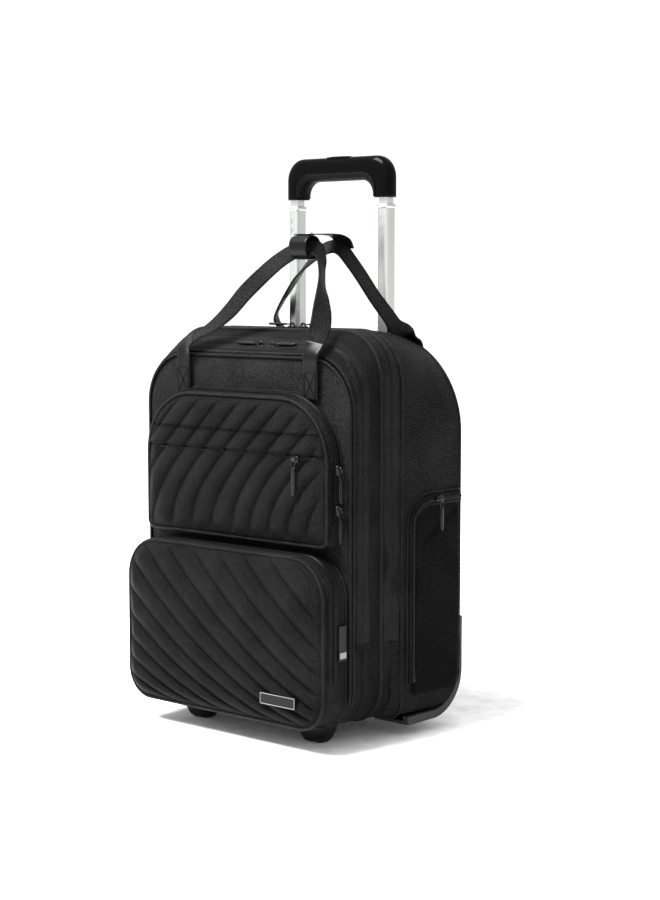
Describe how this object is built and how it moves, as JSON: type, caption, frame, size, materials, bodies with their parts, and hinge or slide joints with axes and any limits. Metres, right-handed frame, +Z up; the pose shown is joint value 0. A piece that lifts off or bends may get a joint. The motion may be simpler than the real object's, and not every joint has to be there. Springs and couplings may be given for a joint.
{
  "type": "pilot rolling flight case",
  "caption": "Soft-sided upright rolling case with quilted front pockets, zipped compartments, carry straps, a telescopic handle and rear wheels",
  "frame": {"origin": "on the floor, under the centre of the case's bounding box", "axes": "+Z up, +Y towards the back and the handle, +X to the right of someone who faces the front panel"},
  "size_m": [0.3626, 0.2553, 0.691],
  "materials": {
    "panel_fabric": "tight black nylon, semi-matte",
    "quilted_fabric": "quilted black nylon with a soft sheen",
    "side_twill": "black ribbed twill",
    "lining": "plain dark grey lining",
    "zip_tape": "woven black zip tape with a coil",
    "webbing": "black ribbed webbing",
    "leather_patch": "glossy black coated patch",
    "board": "matte",
    "guard_plastic": "satin dark grey moulding",
    "foot_plastic": "matte",
    "rivet_steel": "brushed",
    "tube_aluminium": "satin anodised",
    "outer_tube_aluminium": "mill finish",
    "bush_plastic": "matte",
    "grip_plastic": "glossy black",
    "grip_soft": "soft textured black",
    "axle_steel": "brushed",
    "tyre_rubber": "smooth rubber",
    "hub_plastic": "matte dark grey",
    "zip_metal": "black enamel",
    "pull_rubber": "moulded black",
    "label_plain": "plain patch with a thin border"
  },
  "bodies": {
    "case": {"main_shell": "side_twill", "back_panel": "panel_fabric", "compartment_lining": "lining", "base_board": "board", "wheel_base_tray": "guard_plastic", "wheel_housings": "board", "front_feet": "foot_plastic", "base_rivets": "rivet_steel", "outer_tubes": "outer_tube_aluminium", "tube_base_bracket": "board", "handle_bezel": "foot_plastic", "wheel_axles": "axle_steel", "side_pockets": "side_twill", "side_zip_tapes": "zip_tape", "main_zip_tape": "zip_tape", "rear_strap": "webbing", "rear_strap_anchors": "leather_patch"},
    "middle_section": {"middle_gusset": "panel_fabric", "divider_wall": "lining", "laptop_sleeve": "lining", "middle_zip_tapes": "zip_tape"},
    "front_panel": {"front_gusset": "panel_fabric", "front_face": "panel_fabric", "upper_pocket": "quilted_fabric", "lower_pocket": "quilted_fabric", "front_zip_tapes": "zip_tape", "front_strap_anchors": "leather_patch", "labels": "label_plain"},
    "front_strap": {"front_strap": "webbing", "strap_wrap": "webbing"},
    "handle_middle": {"middle_tubes": "tube_aluminium", "middle_tube_bushes": "bush_plastic"},
    "handle_inner": {"inner_tubes": "tube_aluminium", "grip_upper": "grip_plastic", "grip_lower": "grip_soft", "lock_blocks": "bush_plastic"},
    "release_button": {"release_button": "grip_plastic", "push_rods": "axle_steel"},
    "lock_pin_left": {"lock_pin_left": "axle_steel"},
    "lock_pin_right": {"lock_pin_right": "axle_steel"},
    "wheel_left": {"tyre_left": "tyre_rubber", "hub_left": "hub_plastic"},
    "wheel_right": {"tyre_right": "tyre_rubber", "hub_right": "hub_plastic"},
    "front_slider_left": {"front_slider_left": "zip_metal"},
    "front_slider_right": {"front_slider_right": "zip_metal"},
    "main_slider_left": {"main_slider_left": "zip_metal"},
    "main_slider_right": {"main_slider_right": "zip_metal"},
    "upper_slider_high": {"upper_slider_high": "zip_metal"},
    "upper_slider_low": {"upper_slider_low": "zip_metal"},
    "flap_slider": {"flap_slider": "zip_metal"},
    "lower_slider": {"lower_slider": "zip_metal"},
    "side_slider_left": {"side_slider_left": "zip_metal"},
    "side_slider_right": {"side_slider_right": "zip_metal"},
    "upper_pull_high": {"upper_pull_high": "pull_rubber"},
    "upper_pull_low": {"upper_pull_low": "pull_rubber"},
    "flap_pull": {"flap_pull": "pull_rubber"},
    "lower_pull": {"lower_pull": "pull_rubber"},
    "front_pull_left": {"front_pull_left": "pull_rubber"},
    "main_pull_left": {"main_pull_left": "pull_rubber"}
  },
  "joints": [
    {"name": "main_compartment_opens", "type": "hinge", "parent": "case", "child": "middle_section", "pos_m": [0, -0.079, 0.0272], "axis": [1, 0, 0], "range_deg": [0, 18]},
    {"name": "front_compartment_opens", "type": "hinge", "parent": "middle_section", "child": "front_panel", "pos_m": [0, -0.079, 0.0272], "axis": [1, 0, 0], "range_deg": [0, 18]},
    {"name": "front_strap_swings", "type": "hinge", "parent": "front_panel", "child": "front_strap", "pos_m": [0, -0.085, 0.45], "axis": [1, 0, 0], "range_deg": [0, 150]},
    {"name": "handle_lower_stage", "type": "slide", "parent": "case", "child": "handle_middle", "axis": [0, 0, 1], "range_m": [-0.155, 0.12]},
    {"name": "handle_upper_stage", "type": "slide", "parent": "handle_middle", "child": "handle_inner", "axis": [0, 0, 1], "range_m": [-0.0075, 0.26]},
    {"name": "button_press", "type": "slide", "parent": "handle_inner", "child": "release_button", "axis": [0, 0, -1], "range_m": [0, 0.004], "stiffness_N_per_m": 500, "springref_m": -0.004},
    {"name": "left_pin_retracts", "type": "slide", "parent": "handle_inner", "child": "lock_pin_left", "axis": [1, 0, 0], "range_m": [0, 0.003]},
    {"name": "right_pin_retracts", "type": "slide", "parent": "handle_inner", "child": "lock_pin_right", "axis": [-1, 0, 0], "range_m": [0, 0.003]},
    {"name": "left_wheel_rolls", "type": "hinge", "parent": "case", "child": "wheel_left", "pos_m": [-0.1, 0.102, 0.027], "axis": [1, 0, 0], "continuous": true},
    {"name": "right_wheel_rolls", "type": "hinge", "parent": "case", "child": "wheel_right", "pos_m": [0.1, 0.102, 0.027], "axis": [1, 0, 0], "continuous": true},
    {"name": "front_zip_left_slider", "type": "slide", "parent": "middle_section", "child": "front_slider_left", "axis": [-1, 0, 0], "range_m": [0, 0.04]},
    {"name": "front_zip_right_slider", "type": "slide", "parent": "middle_section", "child": "front_slider_right", "axis": [1, 0, 0], "range_m": [0, 0.03]},
    {"name": "main_zip_left_slider", "type": "slide", "parent": "case", "child": "main_slider_left", "axis": [-1, 0, 0], "range_m": [0, 0.04]},
    {"name": "main_zip_right_slider", "type": "slide", "parent": "case", "child": "main_slider_right", "axis": [1, 0, 0], "range_m": [0, 0.03]},
    {"name": "upper_zip_high_slider", "type": "slide", "parent": "front_panel", "child": "upper_slider_high", "axis": [0, 0, 1], "range_m": [0, 0.008]},
    {"name": "upper_zip_low_slider", "type": "slide", "parent": "front_panel", "child": "upper_slider_low", "axis": [0, 0, -1], "range_m": [0, 0.012]},
    {"name": "flap_zip_slider", "type": "slide", "parent": "front_panel", "child": "flap_slider", "axis": [-1, 0, 0], "range_m": [-0.02, 0.22]},
    {"name": "lower_zip_slider", "type": "slide", "parent": "front_panel", "child": "lower_slider", "axis": [0, 0, 1], "range_m": [-0.02, 0.065]},
    {"name": "left_pocket_slider", "type": "slide", "parent": "case", "child": "side_slider_left", "axis": [0, 1, 0], "range_m": [-0.01, 0.036]},
    {"name": "right_pocket_slider", "type": "slide", "parent": "case", "child": "side_slider_right", "axis": [0, 1, 0], "range_m": [-0.01, 0.036]},
    {"name": "front_zip_pull", "type": "hinge", "parent": "front_slider_left", "child": "front_pull_left", "pos_m": [0.011, -0.06364, 0.46639], "axis": [0, 0.8725, 0.4886], "range_deg": [0, 150]},
    {"name": "main_zip_pull", "type": "hinge", "parent": "main_slider_left", "child": "main_pull_left", "pos_m": [0.013, -0.011, 0.4866], "axis": [0, 1, 0], "range_deg": [0, 150]},
    {"name": "upper_high_pull_lifts", "type": "hinge", "parent": "upper_slider_high", "child": "upper_pull_high", "pos_m": [0.1585, -0.088, 0.326], "axis": [0, 1, 0], "range_deg": [-120, 0]},
    {"name": "upper_low_pull_lifts", "type": "hinge", "parent": "upper_slider_low", "child": "upper_pull_low", "pos_m": [0.1585, -0.088, 0.28], "axis": [0, 1, 0], "range_deg": [-120, 0]},
    {"name": "flap_pull_swings", "type": "hinge", "parent": "flap_slider", "child": "flap_pull", "pos_m": [0.105, -0.1096, 0.3365], "axis": [0, 1, 0], "range_deg": [-25, 25]},
    {"name": "lower_pull_lifts", "type": "hinge", "parent": "lower_slider", "child": "lower_pull", "pos_m": [-0.1665, -0.102, 0.112], "axis": [0, 1, 0], "range_deg": [0, 120]}
  ],
  "couplings": [
    {"joint": "left_pin_retracts", "follows": "button_press", "ratio": 0.75},
    {"joint": "right_pin_retracts", "follows": "button_press", "ratio": 0.75}
  ]
}
